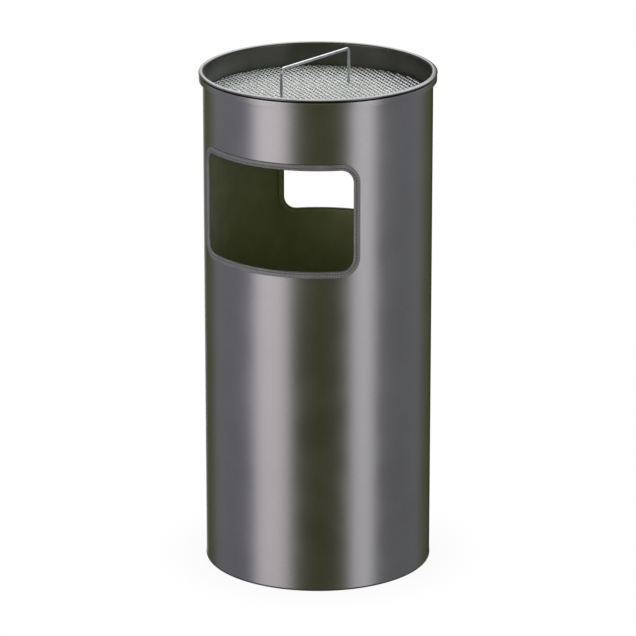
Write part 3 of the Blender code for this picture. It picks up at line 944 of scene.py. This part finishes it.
def make_base_plate():
    """A flanged disc with a pressed groove and a pressed middle."""
    low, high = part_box("base_plate")
    rim = high.x - SHEET / 2
    top = high.z - SHEET / 2
    pressed = top - BASE_PRESS_DEPTH
    path = [(rim, low.z), (rim, top), (0.122, top), (0.117, pressed), (0.105, pressed), (0.100, top)]
    path += [(0.040, top), (0.036, pressed), (0.0, pressed)]
    bends = [0.002, 0.004, 0.002, 0.002, 0.004, 0.003, 0.003]
    mesh = lathe("base_plate_pressing", sheet_outline(rounded(path, bends), SHEET), BASE_TURN_STEPS)
    add_piece(mesh, "base_coat", "housing", "base_plate")


# ---- ash dish ----

DISH_STEPS = 224


def lip_line():
    """Mid-line of the lip, from the end of its curl over its crown to the dish's wall."""
    crown = DISH_WALL_RADIUS + LIP_INNER_BEND
    top = RIM_TOP - SHEET / 2
    reach = LIP_OUTER_BEND - LIP_CURL
    begin = math.radians(LIP_CURL_FROM_DEG)
    curled = (crown + reach * math.cos(begin), top - LIP_OUTER_BEND + reach * math.sin(begin))
    curl = arc(curled, LIP_CURL, -90.0, LIP_CURL_FROM_DEG, 12)
    outer = arc((crown, top - LIP_OUTER_BEND), LIP_OUTER_BEND, LIP_CURL_FROM_DEG, 90.0, 10)
    inner = arc((crown, top - LIP_INNER_BEND), LIP_INNER_BEND, 90.0, 180.0, 12)
    return curl + outer[1:] + inner[1:]


def make_dish():
    ledge = LEDGE_TOP - SHEET / 2
    floor = DISH_UNDERSIDE + SHEET / 2
    lip = lip_line()
    drop = [lip[-1], (DISH_WALL_RADIUS, ledge), (LEDGE_RADIUS, ledge), (LEDGE_RADIUS, floor), (0.0, floor)]
    path = lip + rounded(drop, [LEDGE_BEND, LEDGE_BEND, DISH_CORNER], 7)[1:]
    mesh = lathe("ash_dish_pressing", sheet_outline(path, SHEET), DISH_STEPS)
    add_piece(mesh, "dish_coat", "dish_unit", "ash_dish")


SAND_RINGS = 60
SAND_STEPS = 200
SAND_LEVEL = SAND_HIGH - 0.0015
SAND_SIDE_TOP = SAND_HIGH - 0.0045


def sand_level(x, y):
    """Height of the sand: low mounds and ripples, and grains on top."""
    mounds = noise.noise((x * 22.0, y * 22.0, 1.5)) * 0.0011
    ripples = noise.noise((x * 90.0, y * 90.0, 7.5)) * 0.0006
    grains = noise.noise((x * 520.0, y * 520.0, 3.5)) * 0.0003
    return SAND_LEVEL + mounds + ripples + grains


def make_sand():
    """Top of the bed as a fine grid, closed below by a bowl just inside the dish."""
    low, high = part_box("sand_bed")
    outer = high.x
    corner = DISH_CORNER - SHEET / 2 - FIT_GAP
    below = [(outer, SAND_SIDE_TOP)] + arc((outer - corner, low.z + corner), corner, 0.0, -90.0, 6)
    vertices = []
    for i in range(SAND_STEPS):
        angle = math.tau * i / SAND_STEPS
        cos, sin = math.cos(angle), math.sin(angle)
        for ring in range(1, SAND_RINGS + 1):
            r = outer * ring / SAND_RINGS
            vertices.append((r * cos, r * sin, sand_level(r * cos, r * sin)))
        vertices += [(r * cos, r * sin, z) for r, z in below]
    count = SAND_RINGS + len(below)
    faces = []
    for i in range(SAND_STEPS):
        here, there = i * count, (i + 1) % SAND_STEPS * count
        faces += [(here + j, there + j, there + j + 1, here + j + 1) for j in range(count - 1)]
    top, bottom = len(vertices), len(vertices) + 1
    vertices += [(0.0, 0.0, sand_level(0.0, 0.0)), (0.0, 0.0, low.z)]
    for i in range(SAND_STEPS):
        here, there = i * count, (i + 1) % SAND_STEPS * count
        faces += [(top, here, there), (bottom, there + count - 1, here + count - 1)]
    mesh = smooth_mesh("sand_bed_surface", vertices, faces, crease_deg=60.0)
    add_piece(mesh, "sand", "dish_unit", "sand_bed")


# ---- sieve ----

LONG_PITCH = 0.0146
SHORT_PITCH = 0.0086
LONG_DIRECTION = math.radians(108.0)
STRAND_WIDTH = 0.0019
STRAND_THICKNESS = 0.0009
STRAND_TILT = math.radians(38.0)
STRAND_STEPS = 8
STRAND_FLATNESS = 1.45
STRAND_OVERLAP = 0.0001
STRAND_LIFT = 0.00025
CUT_EDGE = 0.0008
CUT_WOBBLE = 0.0015
HANDLE_CAP = 0.001
WASHER_BORE = 0.0026
WASHER_RADIUS = 0.008
WASHER_EASE = 0.0003


def strand_section():
    """Corners of a strand in the plane across the mesh: it leans, as in raised expanded metal."""
    corners = []
    for along_width, along_depth in ((-1, -1), (1, -1), (1, 1), (-1, 1)):
        w = along_width * STRAND_WIDTH / 2
        d = along_depth * STRAND_THICKNESS / 2
        across = w * math.cos(STRAND_TILT) - d * math.sin(STRAND_TILT)
        up = w * math.sin(STRAND_TILT) + d * math.cos(STRAND_TILT)
        corners.append((across, up))
    return corners


def strand_sway(distance, row):
    """Zigzag of a strand: flat where it is bonded to the next, sloped between."""
    wave = STRAND_FLATNESS * math.cos(math.tau * distance / LONG_PITCH + math.pi * (row % 2))
    reach = STRAND_WIDTH * math.cos(STRAND_TILT) + STRAND_THICKNESS * math.sin(STRAND_TILT)
    swing = SHORT_PITCH / 4 - reach / 2 + STRAND_OVERLAP
    return swing * max(-1.0, min(1.0, wave))


def make_sieve_mesh():
    """Expanded metal cut to a circle: zigzag strands side by side, bonded where they meet."""
    section = strand_section()
    middle = (SIEVE_LOW + SIEVE_HIGH) / 2
    radius = SIEVE_RADIUS - CUT_EDGE
    cos, sin = math.cos(LONG_DIRECTION), math.sin(LONG_DIRECTION)
    step = LONG_PITCH / STRAND_STEPS
    rows = int(radius / (SHORT_PITCH / 2))
    vertices, faces = [], []
    for row in range(-rows, rows + 1):
        across_row = row * SHORT_PITCH / 2
        wobble = noise.noise((row * 3.7, 0.5, 0.5)) * CUT_WOBBLE
        half = math.sqrt(max(radius ** 2 - across_row ** 2, 0.0)) - 0.001
        if half < LONG_PITCH / 2:
            continue
        first, last = math.ceil((-half + wobble) / step), math.floor((half + wobble) / step)
        base = len(vertices)
        for k in range(first, last + 1):
            distance = k * step
            sway = strand_sway(distance, row)
            lift = noise.noise((distance * 60.0, row * 0.7, 2.5)) * STRAND_LIFT
            for across, up in section:
                s = across_row + sway + across
                vertices.append((distance * cos + s * sin, distance * sin - s * cos, middle + up + lift))
        faces += quads(base, last - first + 1, len(section))
        end = base + len(section) * (last - first)
        faces += [(base, base + 1, base + 2, base + 3), (end + 3, end + 2, end + 1, end)]
    mesh = closed_mesh("sieve_expanded_metal", vertices, faces, weld=False)
    add_piece(mesh, "sieve_zinc", "sieve_unit", "sieve_mesh")


def handle_place(along_span, z):
    """A point of the handle, which stands upright over the line that it is turned to."""
    cos, sin = math.cos(HANDLE_TURN), math.sin(HANDLE_TURN)
    return HANDLE_CENTRE + Vector((along_span * cos, along_span * sin, z))


def make_sieve_handle():
    half = HANDLE_SPAN / 2
    corner = [(half, HANDLE_FOOT + HANDLE_CAP), (half, HANDLE_BAR_Z), (0.0, HANDLE_BAR_Z)]
    side = rounded(corner, HANDLE_BEND, 10)[:-1]
    side = distinct(side + [(half * share, HANDLE_BAR_Z) for share in (0.6, 0.3, 0.0)])
    route = [handle_place(x, z) for x, z in side] + [handle_place(-x, z) for x, z in reversed(side[:-1])]
    mesh = tube("sieve_handle_wire", route, HANDLE_WIRE, 20)
    add_piece(mesh, "handle_zinc", "sieve_unit", "sieve_handle")
    for label, sign in (("rear", 1.0), ("front", -1.0)):
        node = "sieve_washer_" + label
        low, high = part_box(node)
        outline = [(WASHER_BORE, high.z), (WASHER_BORE, low.z)]
        outline += [(WASHER_RADIUS, low.z), (WASHER_RADIUS, high.z)]
        mesh = lathe(node + "_disc", rounded_loop(outline, WASHER_EASE, 2), 48)
        mesh.transform(Matrix.Translation(handle_place(sign * half, 0.0)))
        add_piece(mesh, "handle_zinc", "sieve_unit", node)


# ---- liner ----

LINER_TURN_STEPS = 180
LINER_SEAM_ANGLE = math.pi
LINER_SEAM_HEIGHT = 0.0008
LINER_SEAM_HALF_WIDTH = 0.006
LINER_SEAM_SLOPE = 0.0012
LINER_BEADS = (0.105, 0.300)
BEAD_HEIGHT = 0.009
BEAD_DEPTH = 0.0016
BEAD_STEPS = 8
LINER_PRESS_DEPTH = 0.002
LUG_CORNER = 0.003
LUG_EYE = 0.0026
LUG_EASE = 0.00025
RIVET_DOME = 0.0016
RIVET_SHANK = 0.002


def liner_shape(angle, r, z):
    """The wall's lock seam at the rear, which ends below the rolled edge."""
    away = abs(angle - LINER_SEAM_ANGLE) * LINER_RADIUS
    share = max(0.0, min(1.0, (LINER_SEAM_HALF_WIDTH - away) / LINER_SEAM_SLOPE))
    has_seam = LINER_LOW + 0.001 < z < LINER_ROLL_Z - 0.008
    return r + (LINER_SEAM_HEIGHT * share if has_seam else 0.0), z


def make_liner_wall():
    middle = LINER_RADIUS - LINER_SHEET / 2
    path = [(middle, LINER_LOW)]
    for height in LINER_BEADS:
        for share in spaced(0.0, 1.0, BEAD_STEPS):
            bead = BEAD_DEPTH * math.sin(math.pi * share)
            path.append((middle - bead, height + BEAD_HEIGHT * (share - 0.5)))
    path += [(middle, z) for z in spaced(LINER_BEADS[-1] + 0.02, LINER_ROLL_Z - 0.006, 3)]
    roll = (middle + LINER_ROLL_RADIUS, LINER_ROLL_Z)
    path += arc(roll, LINER_ROLL_RADIUS, 180.0, -60.0, 16)
    mesh = lathe("liner_wall_sheet", sheet_outline(path, LINER_SHEET), LINER_TURN_STEPS, liner_shape)
    add_piece(mesh, "liner_zinc", "liner", "liner_wall")
    wire = lathe("liner_rim_wire_ring", arc(roll, RIM_WIRE, 0.0, 330.0, 11), LINER_TURN_STEPS)
    add_piece(wire, "liner_wire_zinc", "liner", "liner_rim_wire")


def make_liner_base():
    """A flanged disc with its middle pressed down between two rings."""
    low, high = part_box("liner_base")
    rim, top = high.x - LINER_SHEET / 2, high.z - LINER_SHEET / 2
    pressed = top - LINER_PRESS_DEPTH
    path = [(rim, low.z), (rim, top), (0.120, top), (0.116, pressed), (0.030, pressed), (0.026, top)]
    path.append((0.0, top))
    bends = [0.0018, 0.003, 0.003, 0.003, 0.003]
    mesh = lathe("liner_base_pressing", sheet_outline(rounded(path, bends), LINER_SHEET), LINER_TURN_STEPS)
    add_piece(mesh, "liner_zinc", "liner", "liner_base")


def lug_mesh(name, side):
    """Plate with a round top, an eye for the bail's pin, and eased edges."""
    low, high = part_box(name)
    half = (high.y - low.y) / 2
    curve = bpy.data.curves.new(name, "CURVE")
    curve.dimensions = "2D"
    curve.fill_mode = "BOTH"
    curve.extrude = (high.x - low.x) / 2 - LUG_EASE
    curve.bevel_depth = LUG_EASE
    curve.bevel_resolution = 1
    corner_x, corner_z = half - LUG_CORNER, low.z + LUG_CORNER
    edge = arc((0.0, PIVOT_Z), half - LUG_EASE, 0.0, 180.0, 24)
    edge += arc((-corner_x, corner_z), LUG_CORNER - LUG_EASE, 180.0, 270.0, 6)
    edge += arc((corner_x, corner_z), LUG_CORNER - LUG_EASE, 270.0, 360.0, 6)
    eye = arc((0.0, PIVOT_Z), LUG_EYE + LUG_EASE, 0.0, 345.0, 23)
    for outline in (edge, eye):
        spline = curve.splines.new("POLY")
        spline.points.add(len(outline) - 1)
        for point, (x, y) in zip(spline.points, outline):
            point.co = (x, y, 0.0, 1.0)
        spline.use_cyclic_u = True
    flat = applied_mesh(new_object(name + "_source", curve))
    middle = (low.x + high.x) / 2
    vertices = [(middle + v.co.z, side * v.co.x, v.co.y) for v in flat.vertices]
    faces = [tuple(face.vertices) for face in flat.polygons]
    return smooth_mesh(name + "_plate", vertices, faces, crease_deg=30.0)


def rivet_mesh(name):
    """Rivet with two domed heads, turned about X."""
    low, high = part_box(name)
    length = high.x - low.x
    radius = (high.z - low.z) / 2
    head = [(radius * math.cos(a), RIVET_DOME * math.sin(a)) for a in spaced(0.0, math.pi / 2, 8)]
    outer = [(r, length - RIVET_DOME + z) for r, z in reversed(head)]
    shank = [(RIVET_SHANK, length - RIVET_DOME), (RIVET_SHANK, RIVET_DOME)]
    inner = [(r, RIVET_DOME - z) for r, z in head]
    upright = lathe(name, outer + shank + inner, 32)
    centre = (low.z + high.z) / 2
    vertices = [(low.x + v.co.z, v.co.x, centre + v.co.y) for v in upright.vertices]
    faces = [tuple(face.vertices) for face in upright.polygons]
    return smooth_mesh(name + "_fastener", vertices, faces)


def make_lugs_and_rivets():
    for label, side in (("left", -1.0), ("right", 1.0)):
        node = "liner_lug_" + label
        mesh = lug_mesh(node, side)
        add_piece(mesh, "liner_zinc", "liner", node)
        for place in ("lower", "upper"):
            node = f"rivet_{label}_{place}"
            mesh = rivet_mesh(node)
            add_piece(mesh, "rivet_zinc", "liner", node)


BAIL_SIDE_RADIUS = 0.146
BAIL_REACH = 0.157
BAIL_PIN_END = 0.1585
BAIL_BEND = 0.006
BAIL_CAP = 0.001
BAIL_REST_TILT = math.radians(3.4)


def make_bail():
    """Half an oval of wire with a pin at each end, folded towards the front."""
    half = [(BAIL_PIN_END - BAIL_CAP, 0.0), (BAIL_SIDE_RADIUS + BAIL_BEND, 0.0)]
    half += [(BAIL_SIDE_RADIUS + BAIL_BEND * 0.3, -BAIL_BEND * 0.3)]
    first = math.asin(BAIL_BEND / BAIL_REACH)
    for angle in spaced(first, math.pi / 2, 26):
        half.append((BAIL_SIDE_RADIUS * math.cos(angle), -BAIL_REACH * math.sin(angle)))
    route = half + [(-x, y) for x, y in reversed(half[:-1])]
    cos, sin = math.cos(BAIL_REST_TILT), math.sin(BAIL_REST_TILT)
    points = [(x, y * cos, PIVOT_Z + y * sin) for x, y in route]
    mesh = tube("liner_bail_wire", points, BAIL_WIRE, 16)
    add_piece(mesh, "liner_wire_zinc", "bail", "liner_bail")


def main():
    bpy.context.scene.view_settings.view_transform = "Standard"
    make_camera()
    make_sky()
    make_floor()
    for make in (
        make_shell, make_trims, make_floor_ring, make_base_plate, make_dish, make_sand, make_sieve_mesh,
        make_sieve_handle, make_liner_wall, make_liner_base, make_lugs_and_rivets, make_bail,
    ):
        make()


main()
